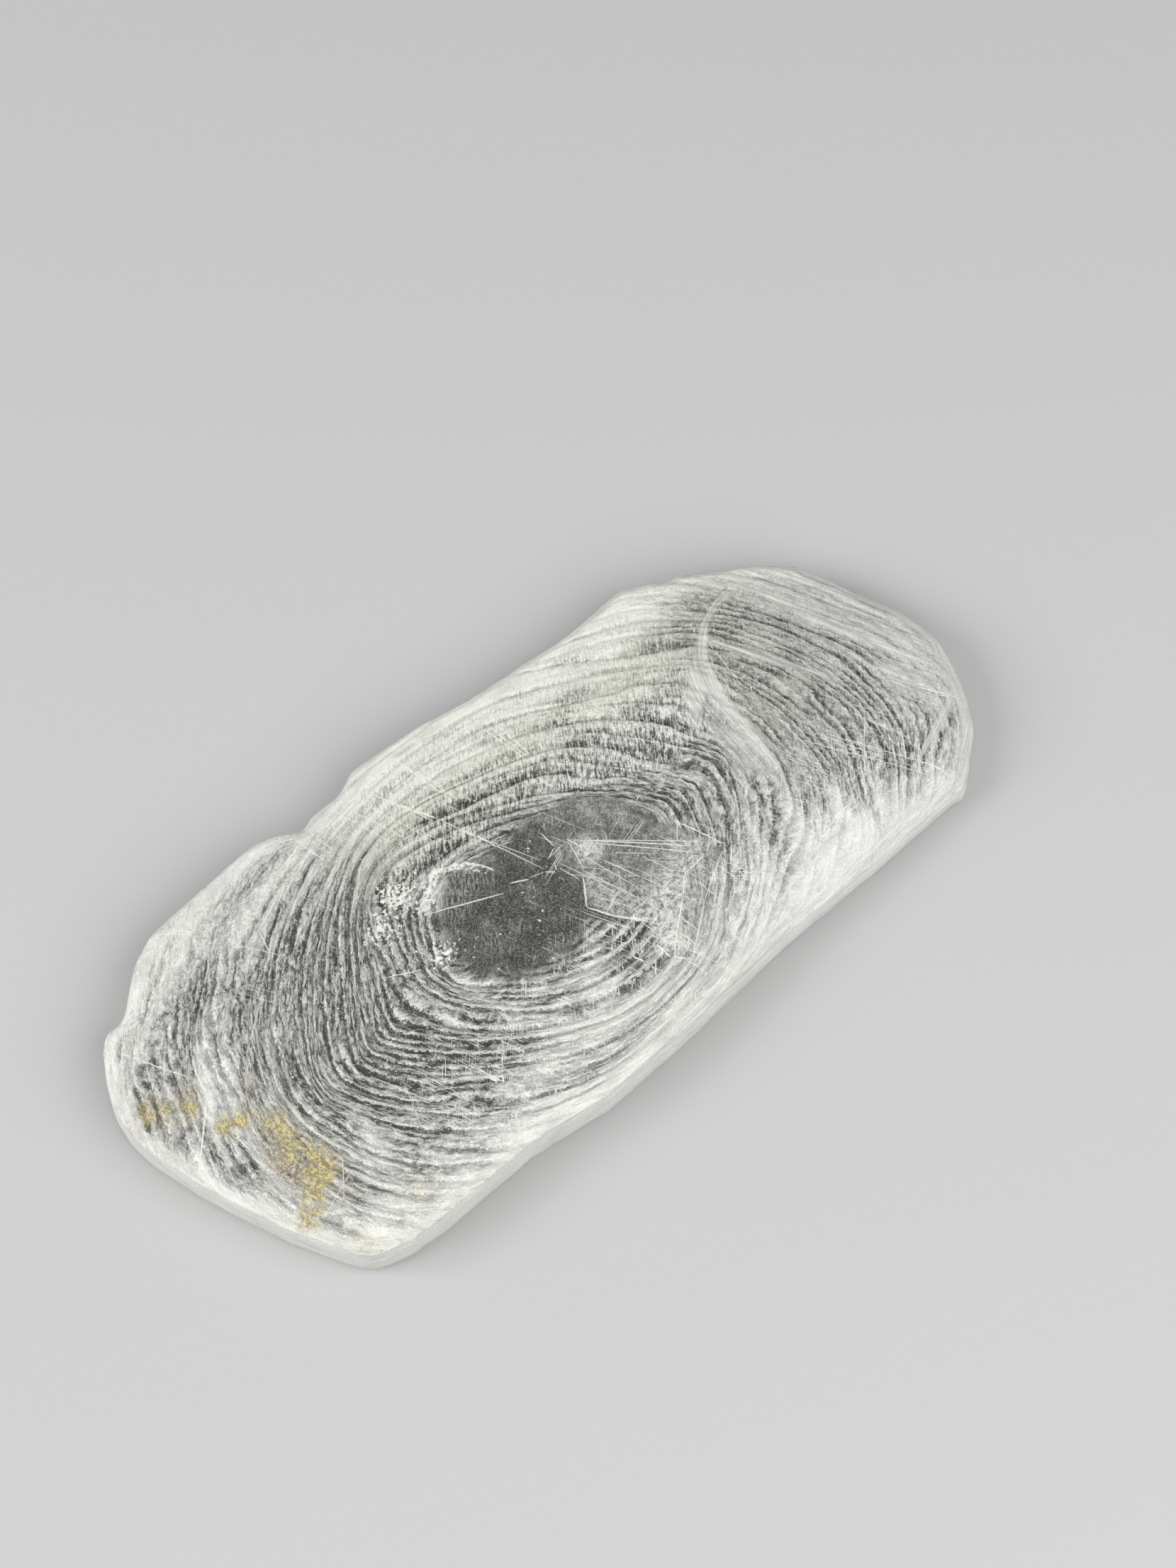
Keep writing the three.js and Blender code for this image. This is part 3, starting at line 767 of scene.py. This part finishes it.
def scratch_fields(points):
    """What the nearest scratch of each channel says at the points."""
    channels = [[] for _ in range(3 * len(SCRATCH_FIELDS))]
    values = np.full((len(channels), len(points)), FAR_OFF)
    nearest = np.full(values.shape, np.inf)
    flecks = [
        ((x - along, y - up), (x + along, y + up), FLECK_HALF_WIDTH) for x, y, along, up in FLECKS
    ]
    for start, end, half_width in SCRATCHES + flecks + random_scratches():
        start, end = np.array(start), np.array(end)
        line = start + (end - start) * np.linspace(0, 1, 12)[:, None]
        channel = free_channel(line, channels)
        if channel is None:
            continue
        channels[channel].append(line)
        to_line, value = across_scratch(points, start, end, half_width)
        closer = to_line < nearest[channel]
        values[channel, closer] = value[closer]
        nearest[channel, closer] = to_line[closer]
    return values


def random_scratches():
    """Bundles of thin scratches over the top, mostly along the two cleavage traces."""
    dice = np.random.default_rng(seed=97)
    scratches = []
    for x, y, spread, count, longest, directions in SCRATCHED:
        for _ in range(count):
            middle = np.array([x, y]) + dice.normal(0, 1, 2) * spread
            angle = math.radians(dice.choice(directions) + dice.normal(0, 4))
            along = np.array([math.cos(angle), math.sin(angle)])
            for _ in range(dice.integers(*BUNDLE)):
                reach = dice.uniform(0.1, 0.5) * longest * along
                place = middle + dice.normal(0, 0.8) * np.array([-along[1], along[0]])
                place = place + dice.normal(0, 0.7) * along
                half_width = dice.uniform(*THIN_HALF_WIDTHS)
                scratches.append((place - reach, place + reach, half_width))
    return scratches


def wall_rings(plan):
    """Rings of the wall from the rim down to the edge of the flat underside."""
    rings = []
    for share, inset in WALL_RINGS:
        layer = rough(plan.stops / 9, np.full(RAYS, share * 11.0), seed=31)
        lamina = LAMINA_DEPTH * (1 + layer) / 2 * math.sin(math.pi * share)
        place = plan.wall - plan.outward * (inset + lamina)[:, None]
        rings.append(np.column_stack([place, share * plan.rim]))
    return np.vstack(rings)


def slab_faces(rows):
    """A fan over the centre, bands between the rings and a fan under the foot."""
    i = np.arange(RAYS)
    j = (i + 1) % RAYS
    starts = 1 + np.arange(rows - 1)[:, None] * RAYS
    quads = np.stack([starts + i, starts + RAYS + i, starts + RAYS + j, starts + j], 2)
    last = 1 + (rows - 1) * RAYS
    foot = last + RAYS
    faces = [(0, 1 + a, 1 + b) for a, b in zip(i.tolist(), j.tolist())]
    faces += quads.reshape(-1, 4).tolist()
    faces += [(foot, last + b, last + a) for a, b in zip(i.tolist(), j.tolist())]
    return faces


def write_fields(mesh, fields, plan):
    """Stores the fields of the top on the mesh, and what the finish is told away from it."""
    wall_run = np.tile(plan.run, len(WALL_RINGS))
    for name, over_top in fields.items():
        if name == "strand":
            rest = strand_vector(wall_run, np.full(len(wall_run), WALL_PHASE))
        else:
            rest = np.tile(OFF_TOP.get(name, (FAR_OFF,) * 3), (len(wall_run), 1))
        values = np.vstack([over_top[:1], over_top, rest, rest[-1:]])
        layer = mesh.attributes.new(name, "FLOAT_VECTOR", "POINT")
        layer.data.foreach_set("vector", values.astype(np.float32).ravel())


def face_finishes(count, window):
    """Which finish each face has, by its number among them."""
    number = {name: i for i, name in enumerate(FINISHES)}
    finish = np.full(count, number["frosted_wall"], np.int32)
    finish[:RAYS] = number["clear_window"]
    clear = window.reshape(RINGS, RAYS)[:-1].ravel() > 0.5
    finish[RAYS : RAYS * RINGS] = np.where(
        clear, number["clear_window"], number["frosted_ledges"]
    )
    finish[-RAYS:] = number["clear_underside"]
    return finish


def build_slab(plan):
    """One closed mesh with its top, its wall and a flat underside."""
    top = top_surface(plan)
    middle, foot = (*CENTRE, WINDOW_HEIGHT), (*CENTRE, 0)
    points = np.vstack([middle, top["points"], wall_rings(plan), foot]) * MM
    faces = slab_faces(RINGS + len(WALL_RINGS))
    mesh = bpy.data.meshes.new("selenite_crystal")
    mesh.from_pydata(points.tolist(), [], faces)
    channels = scratch_fields(top["points"][:, :2]).reshape(len(SCRATCH_FIELDS), 3, -1)
    scratches = {name: three.T for name, three in zip(SCRATCH_FIELDS, channels)}
    write_fields(mesh, finish_fields(top) | scratches, plan)
    mesh.polygons.foreach_set("material_index", face_finishes(len(faces), top["window"]))
    mesh.shade_smooth()
    slab = bpy.data.objects.new("selenite_crystal", mesh)
    bpy.context.scene.collection.objects.link(slab)
    return slab


class Recipe:
    """Adds nodes to a tree and links them, so that a finish reads as a few lines."""

    def __init__(self, tree):
        self.tree = tree

    def add(self, kind, inputs=None, **settings):
        """Adds a node, sets it up and feeds its inputs."""
        node = self.tree.nodes.new(kind)
        for name, value in settings.items():
            setattr(node, name, value)
        for key, value in (inputs or {}).items():
            self.feed(node.inputs[key], value)
        return node

    def feed(self, socket, value):
        """Links an input to an output, or sets it to a plain value."""
        if isinstance(value, bpy.types.NodeSocket):
            self.tree.links.new(value, socket)
        elif value is not None:
            socket.default_value = value

    def math(self, operation, a, b=None, c=None, clamp=False):
        """Arithmetic on up to three numbers."""
        node = self.add("ShaderNodeMath", {0: a, 1: b, 2: c}, operation=operation, use_clamp=clamp)
        return node.outputs[0]

    def stretch(self, vector, factors):
        """Scales a vector along each axis by that axis's factor."""
        node = self.add("ShaderNodeVectorMath", {0: vector, 1: factors}, operation="MULTIPLY")
        return node.outputs[0]

    def between(self, value, low, high, to_low=0.0, to_high=1.0):
        """Goes smoothly from one result to the other as the value goes from low to high."""
        inputs = {
            "Value": value, "From Min": low, "From Max": high, "To Min": to_low,
            "To Max": to_high,
        }
        node = self.add("ShaderNodeMapRange", inputs, interpolation_type="SMOOTHSTEP")
        return node.outputs["Result"]

    def blend(self, share, a, b):
        """Mixes two numbers."""
        return self.add("ShaderNodeMix", {0: share, 2: a, 3: b}, data_type="FLOAT").outputs[0]

    def tint(self, share, a, b):
        """Mixes two colours."""
        return self.add("ShaderNodeMix", {0: share, 6: a, 7: b}, data_type="RGBA").outputs[2]

    def turn(self, vector, angle):
        """Turns a vector about the upright axis."""
        inputs = {"Vector": vector, "Angle": angle}
        node = self.add("ShaderNodeVectorRotate", inputs, rotation_type="Z_AXIS")
        return node.outputs[0]

    def join(self, x, y):
        """A vector from two numbers."""
        return self.add("ShaderNodeCombineXYZ", {0: x, 1: y}).outputs[0]

    def apart(self, vector):
        """The three numbers of a vector."""
        return self.add("ShaderNodeSeparateXYZ", {0: vector}).outputs

    def noise(self, vector, scale=1.0, detail=2.0, roughness=0.5, curl=0.0):
        """Cloudy values round a half."""
        inputs = {
            "Vector": vector, "Scale": scale, "Detail": detail, "Roughness": roughness,
            "Distortion": curl,
        }
        return self.add("ShaderNodeTexNoise", inputs).outputs["Fac"]

    def off(self, value, line):
        """How far the value lies off a line, to either side."""
        return self.math("ABSOLUTE", self.math("SUBTRACT", value, line))

    def field(self, name):
        """A vector field of the mesh."""
        return self.add("ShaderNodeAttribute", attribute_name=name).outputs["Vector"]


def new_group(name, inputs, outputs):
    """An empty node group with named sockets, and its recipe."""
    tree = bpy.data.node_groups.new(name, "ShaderNodeTree")
    kinds = {"value": "NodeSocketFloat", "vector": "NodeSocketVector", "color": "NodeSocketColor"}
    for label, kind in inputs:
        tree.interface.new_socket(label, in_out="INPUT", socket_type=kinds[kind])
    for label, kind in outputs:
        tree.interface.new_socket(label, in_out="OUTPUT", socket_type=kinds[kind])
    recipe = Recipe(tree)
    start = recipe.add("NodeGroupInput").outputs
    end = recipe.add("NodeGroupOutput").inputs
    return tree, recipe, start, end


def use_group(recipe, tree, **inputs):
    """The outputs of a group that is fed the inputs of the same names."""
    node = recipe.add("ShaderNodeGroup", node_tree=tree)
    for label, value in inputs.items():
        recipe.feed(node.inputs[label.replace("_", " ").capitalize()], value)
    return node.outputs


def ledge_band_group():
    """Frost across the ledges, with a clear line where each one starts."""
    tree, r, start, end = new_group(
        "ledge band", [("Phase", "value"), ("Gap", "value")], [("Frost", "value")]
    )
    share = r.math("FRACT", start["Phase"])
    rise = r.between(share, 0.0, r.math("ADD", start["Gap"], 0.1))
    fall = r.between(share, 1.0, 0.9)
    frost = r.between(r.math("MULTIPLY", rise, fall), 0.08, 0.85)
    crest = r.between(share, 0.3, 1.0)
    r.feed(end["Frost"], r.math("MULTIPLY", frost, r.math("MULTIPLY_ADD", crest, 0.75, 0.4)))
    return tree


def straight_threads_group():
    """Fine straight threads that run one way across the crystal."""
    tree, r, start, end = new_group(
        "straight threads",
        [("Point", "vector"), ("Angle", "value"), ("Length", "value"), ("Spacing", "value")],
        [("Threads", "value")],
    )
    x, y, _ = r.apart(r.turn(start["Point"], start["Angle"]))
    along = r.math("DIVIDE", x, start["Length"])
    stretched = r.join(along, r.math("DIVIDE", y, start["Spacing"]))
    value = r.noise(stretched, detail=1.0)
    line = r.between(r.off(value, 0.5), 0.0, 0.03, 1.0, 0.0)
    breaks = r.noise(start["Point"], scale=0.45, detail=1.0)
    r.feed(end["Threads"], r.math("MULTIPLY", line, r.between(breaks, 0.42, 0.6)))
    return tree


def drawn_lines(r, point):
    """The scratches: each channel holds a distance counted in half widths of the nearest one."""
    jitter = r.math("MULTIPLY_ADD", r.noise(point, scale=2.5), 1.4, -0.7)
    lines = 0.0
    for name in SCRATCH_FIELDS:
        for channel in r.apart(r.field(name)):
            off_line = r.math("ABSOLUTE", r.math("ADD", channel, jitter))
            lines = r.math("MAXIMUM", lines, r.between(off_line, 1.1, 0.5))
    return lines


def oblique_grain(r, point):
    """The crystal's own grain, which crosses the ledges above the window."""
    turned = r.turn(point, GRAIN_TURN)
    return r.noise(r.stretch(turned, (1.0, 4.5, 1.0)), roughness=0.6, curl=0.4)


def banded_frost(r, point, phase, gap, fray_here):
    """Frost of the single, double and fourfold ledges, with their frayed edges."""
    bands = ledge_band_group()
    fray = r.math("SUBTRACT", r.noise(point, scale=2.2, detail=3.0, roughness=0.7), 0.5)
    frayed = r.math("MULTIPLY_ADD", fray, fray_here, phase)
    band = 0.0
    for weight, (how_many, kept) in zip(r.apart(r.field("weights")), JOINED):
        count = r.math("DIVIDE", frayed, how_many)
        frost = use_group(r, bands, phase=count, gap=r.math("MULTIPLY", gap, kept))[0]
        band = r.math("MULTIPLY_ADD", frost, weight, band)
    return band


def woven_frost(r, strand, hatch, haze, fray_here):
    """Fibres and veins along the ledges and grain across them, and the fibres alone."""
    fibres = r.stretch(strand, (0.55, 0.55, 2.2))
    fibres = r.noise(fibres, detail=4.0, roughness=0.7, curl=0.3)
    strands = r.apart(r.field("finish"))[0]
    weakest = r.math("MULTIPLY_ADD", strands, 0.6, -0.22)
    fibres = r.between(fibres, weakest, 0.58)
    curls = r.noise(r.stretch(strand, (0.7, 0.7, 2.0)), roughness=0.6, curl=0.6)
    veins = r.between(r.off(curls, 0.5), 0.0, 0.1, 1.0, 0.0)
    straight = r.math("MULTIPLY_ADD", fray_here, -1.7, 1.7)
    hatched = r.math("MULTIPLY_ADD", haze, -0.6, straight, clamp=True)
    hatch = r.math("MULTIPLY", r.between(hatch, 0.36, 0.64, -0.3, 0.3), hatched)
    weave = r.math("MULTIPLY_ADD", veins, 0.22, r.math("MULTIPLY", fibres, 0.45))
    return r.math("ADD", weave, hatch), fibres


def frosted_ledges(r, point, phase, strand, hatch):
    """Frost of the ledges, the fibres along them, and how smooth the frost is."""
    fray_here, gap, haze = r.apart(r.field("ledge"))
    band = banded_frost(r, point, phase, gap, fray_here)
    weave, fibres = woven_frost(r, strand, hatch, haze, fray_here)
    open_gap = r.between(gap, 0.0, 0.4)
    ledge = r.math("MULTIPLY_ADD", band, 0.55, -0.27)
    ledge = r.math("ADD", r.blend(open_gap, 0.1, ledge), weave, clamp=True)
    low = r.between(haze, 0.0, 1.0, -0.22, 0.75)
    high = r.between(haze, 0.0, 1.0, 0.88, 1.12)
    smooth = r.between(haze, 0.35, 0.9, 0.0, 0.5)
    return r.blend(ledge, low, high), fibres, smooth


def brushed_frost(r, frost, smooth, brushed_here, phase, grain):
    """Frost with the long streaks of the smooth skin, and the grain that both leave."""
    across = r.apart(r.field("finish"))[2]
    run = r.join(across, r.math("MULTIPLY", phase, 0.05))
    streaks = r.noise(r.stretch(run, (2.8, 1.0, 1.0)), detail=4.0, roughness=0.7)
    faintest = r.math("MULTIPLY_ADD", brushed_here, 0.45, 0.05)
    strongest = r.math("MULTIPLY_ADD", brushed_here, 0.25, 0.75)
    brushed = r.between(streaks, 0.35, 0.65, faintest, strongest)
    frost = r.blend(r.math("MULTIPLY", brushed_here, 0.85), frost, brushed)
    smooth = r.math("MAXIMUM", smooth, r.math("MULTIPLY", brushed_here, 0.7))
    coarse = r.blend(smooth, r.math("MULTIPLY_ADD", grain, 1.8, 0.1), 0.95)
    return r.math("MULTIPLY", frost, coarse, clamp=True)


def window_frost(r, point, hatch, plate_here):
    """The little frost on the clear window: wrinkles, grain and the plate's white haze."""
    wrinkles = r.noise(r.stretch(point, (4.0, 8.0, 3.0)), roughness=0.7)
    pane = r.between(wrinkles, 0.42, 0.72, 0.0, 0.26)
    combed = r.math("MULTIPLY", r.between(hatch, 0.42, 0.64), r.apart(r.field("ledge"))[2])
    pane = r.math("MULTIPLY_ADD", combed, 0.6, pane)
    haze = r.noise(point, scale=1.7, detail=5.0, roughness=0.85)
    return r.math("MULTIPLY_ADD", r.between(haze, 0.38, 0.62, 0.1, 1.15), plate_here, pane)


def worn_frost(r, point, grain):
    """The worn bevel and wall, with the crystal's layers showing in them."""
    laminae = r.noise(r.stretch(point, (0.25, 0.25, 3.5)), detail=4.0, roughness=0.65)
    worn = r.between(laminae, 0.25, 0.7, 0.6, 1.0)
    return r.math("MULTIPLY", worn, r.math("MULTIPLY_ADD", grain, 0.6, 0.7))


def marks_on_top(r, point):
    """Threads, scratches, specks and crumbs that stand out white."""
    threads = straight_threads_group()
    lines = 0.0
    for degrees, length, spacing in ((65, 9.0, 0.5), (-49, 7.0, 0.45)):
        angle = math.radians(degrees)
        thread = use_group(r, threads, point=point, angle=angle, length=length, spacing=spacing)
        lines = r.math("MAXIMUM", lines, thread[0])
    lines = r.math("MULTIPLY", lines, r.apart(r.field("finish"))[1])
    lines = r.math("MAXIMUM", lines, drawn_lines(r, point))
    crumbs = r.noise(point, scale=2.1, detail=3.0, roughness=0.7)
    fewest = r.math("MULTIPLY_ADD", r.apart(r.field("dirt"))[2], -0.2, 0.66)
    crumbs = r.math("MULTIPLY", r.math("SUBTRACT", crumbs, fewest), 25.0, clamp=True)
    return r.math("MAXIMUM", lines, crumbs)


def stained(r, point, color):
    """The colour with brown and ochre grit laid over it."""
    stain_here, brown_here, _ = r.apart(r.field("dirt"))
    grit = r.stretch(point, (3.6, 2.8, 3.0))
    grit = r.noise(grit, detail=3.0, roughness=0.7, curl=0.5)
    patch = r.between(r.noise(point, scale=0.9, detail=3.0), 0.36, 0.6, 0.3, 1.4)
    ochre = r.tint(r.between(grit, 0.45, 0.62), *OCHRE_GRIT)
    brown = r.tint(r.between(grit, 0.4, 0.6), *BROWN_GRIT)
    color = r.tint(r.math("MULTIPLY", brown_here, 0.65, clamp=True), color, brown)
    return r.tint(r.math("MULTIPLY", stain_here, patch, clamp=True), color, ochre)


def crystal_surface_group():
    """Colour, roughness and relief of the whole crystal's skin."""
    tree, r, start, end = new_group(
        "crystal surface",
        [("Clear color", "color"), ("Frost color", "color"), ("Least frost", "value")],
        [("Color", "color"), ("Roughness", "value"), ("Height", "value")],
    )
    position = r.add("ShaderNodeTexCoord").outputs["Object"]
    in_mm = {0: position, "Scale": 1 / MM}
    point = r.add("ShaderNodeVectorMath", in_mm, operation="SCALE").outputs[0]
    strand = r.field("strand")
    phase = r.apart(strand)[2]
    hatch = oblique_grain(r, point)
    grain = r.noise(point, scale=4.5, roughness=0.8)
    window_here, worn_here, brushed_here = r.apart(r.field("region"))
    warm_here, painted_sheen_here, plate_here = r.apart(r.field("tint"))
    frost, fibres, smooth = frosted_ledges(r, point, phase, strand, hatch)
    frost = brushed_frost(r, frost, smooth, brushed_here, phase, grain)
    frost = r.blend(window_here, frost, window_frost(r, point, hatch, plate_here))
    frost = r.math("MAXIMUM", frost, start["Least frost"])
    frost = r.blend(r.math("MULTIPLY", worn_here, 0.85), frost, worn_frost(r, point, grain))
    frost = r.math("MAXIMUM", frost, r.math("MULTIPLY", marks_on_top(r, point), 0.97))
    # Painted bluish sheen and glints, tinted into the frost colour
    tinted = r.tint(painted_sheen_here, start["Frost color"], PAINTED_SHEEN_COLOR)
    tinted = r.tint(r.math("MULTIPLY", warm_here, 0.8), tinted, WARM_FROST)
    r.feed(end["Color"], stained(r, point, r.tint(frost, start["Clear color"], tinted)))
    r.feed(end["Roughness"], r.between(frost, 0.0, 0.6, 0.06, 0.5))
    r.feed(end["Height"], r.math("MULTIPLY_ADD", fibres, 0.5, grain))
    return tree


def crystal_material(name, surface, transmission, clear, frost, least_frost, bump_mm):
    """Selenite: clear inside, with the shared skin."""
    material = bpy.data.materials.new(name)
    material.use_nodes = True
    r = Recipe(material.node_tree)
    shader = material.node_tree.nodes["Principled BSDF"].inputs
    skin = use_group(r, surface, clear_color=clear, frost_color=frost, least_frost=least_frost)
    bump = {"Height": skin["Height"], "Distance": bump_mm * MM, "Strength": BUMP_STRENGTH}
    absorption = {"Color": INSIDE_COLOR, "Density": INSIDE_DENSITY}
    absorption = r.add("ShaderNodeVolumeAbsorption", absorption).outputs[0]
    r.feed(shader["Base Color"], skin["Color"])
    r.feed(shader["Roughness"], skin["Roughness"])
    r.feed(shader["Normal"], r.add("ShaderNodeBump", bump).outputs[0])
    shader["Transmission Weight"].default_value = transmission
    shader["IOR"].default_value = REFRACTION
    r.feed(material.node_tree.nodes["Material Output"].inputs["Volume"], absorption)
    return material


def add_floor():
    """A plain pale floor."""
    half = FLOOR_HALF
    mesh = bpy.data.meshes.new("floor")
    corners = [(-half, -half, 0), (half, -half, 0), (half, half, 0), (-half, half, 0)]
    mesh.from_pydata(corners, [], [(0, 1, 2, 3)])
    floor = bpy.data.objects.new("floor", mesh)
    floor.location.z = -FLOOR_DROP_MM * MM
    bpy.context.scene.collection.objects.link(floor)
    material = bpy.data.materials.new("pale_floor")
    material.use_nodes = True
    shader = material.node_tree.nodes["Principled BSDF"].inputs
    shader["Base Color"].default_value = FLOOR_COLOR
    shader["Roughness"].default_value = FLOOR_ROUGHNESS
    mesh.materials.append(material)
    return floor


def add_lights():
    """Soft lights that face the slab, and an even pale sky."""
    for name, (place, size, power) in LIGHTS.items():
        light = bpy.data.lights.new(name, "AREA")
        light.shape = "RECTANGLE"
        light.size, light.size_y = size
        light.energy = power
        holder = bpy.data.objects.new(name, light)
        holder.location = place
        holder.rotation_euler = (-holder.location).to_track_quat("-Z", "Y").to_euler()
        bpy.context.scene.collection.objects.link(holder)
    world = bpy.data.worlds.new("studio")
    world.use_nodes = True
    background = world.node_tree.nodes["Background"].inputs
    background["Color"].default_value = (1, 1, 1, 1)
    background["Strength"].default_value = SKY_STRENGTH
    bpy.context.scene.world = world
    bpy.context.scene.view_settings.view_transform = "Standard"


def add_camera():
    """A camera that sees the slab as the photograph does."""
    data = bpy.data.cameras.new("camera")
    data.lens = CAMERA_LENS_MM
    data.sensor_width = CAMERA_SENSOR_MM
    camera = bpy.data.objects.new("camera", data)
    back = Vector((
        math.sin(CAMERA_AZIMUTH) * math.cos(CAMERA_ELEVATION),
        -math.cos(CAMERA_AZIMUTH) * math.cos(CAMERA_ELEVATION),
        math.sin(CAMERA_ELEVATION),
    ))
    right = Vector((math.cos(CAMERA_AZIMUTH), math.sin(CAMERA_AZIMUTH), 0))
    turn = Matrix((right, back.cross(right), back)).transposed().to_4x4()
    camera.matrix_world = Matrix.Translation(CAMERA_TARGET + back * CAMERA_DISTANCE) @ turn
    bpy.context.scene.collection.objects.link(camera)
    bpy.context.scene.camera = camera


add_camera()
add_lights()
floor = add_floor()

surface = crystal_surface_group()
slab = build_slab(Plan())
for name, finish in FINISHES.items():
    slab.data.materials.append(crystal_material(name, surface, *finish))
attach(slab, "root")
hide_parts("selenite_slab")
